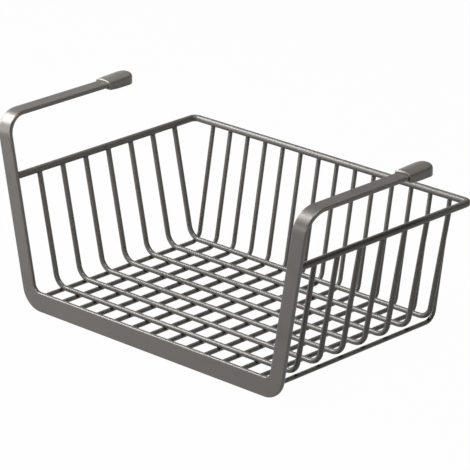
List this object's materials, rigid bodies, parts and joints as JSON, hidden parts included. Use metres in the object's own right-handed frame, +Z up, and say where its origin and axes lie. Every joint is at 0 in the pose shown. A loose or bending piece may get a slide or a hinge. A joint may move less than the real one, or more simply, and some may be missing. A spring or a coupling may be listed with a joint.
{
  "type": "under shelf basket",
  "caption": "Wire storage basket with a flat bar front frame whose two capped arms hook over a shelf board, so the basket hangs below it.",
  "frame": {"origin": "middle of the footprint, at the height of the lower edge of the front bar", "axes": "+X to the right along the front, +Y from the open front to the back, +Z up from the basket's floor to the shelf"},
  "size_m": [0.3422, 0.2068, 0.1613],
  "materials": {
    "bar_finish": "warm dark grey metallic powder coat, satin, fine grain",
    "wire_finish": "warm dark grey metallic powder coat, satin, a little glossier than the bar",
    "cap_plastic": "moulded satin plastic in the same warm grey"
  },
  "bodies": {
    "root": {"front_frame": "bar_finish", "rim_wire": "wire_finish", "end_cap_left": "cap_plastic", "end_cap_right": "cap_plastic", "cross_wire_1": "wire_finish", "cross_wire_2": "wire_finish", "cross_wire_3": "wire_finish", "cross_wire_4": "wire_finish", "cross_wire_5": "wire_finish", "cross_wire_6": "wire_finish", "cross_wire_7": "wire_finish", "floor_wire_1": "wire_finish", "floor_wire_2": "wire_finish", "floor_wire_3": "wire_finish", "floor_wire_4": "wire_finish", "floor_wire_5": "wire_finish", "floor_wire_6": "wire_finish", "floor_wire_7": "wire_finish", "floor_wire_8": "wire_finish", "floor_wire_9": "wire_finish", "floor_wire_10": "wire_finish", "floor_wire_11": "wire_finish", "floor_wire_12": "wire_finish", "floor_wire_13": "wire_finish", "floor_wire_14": "wire_finish"}
  },
  "joints": []
}
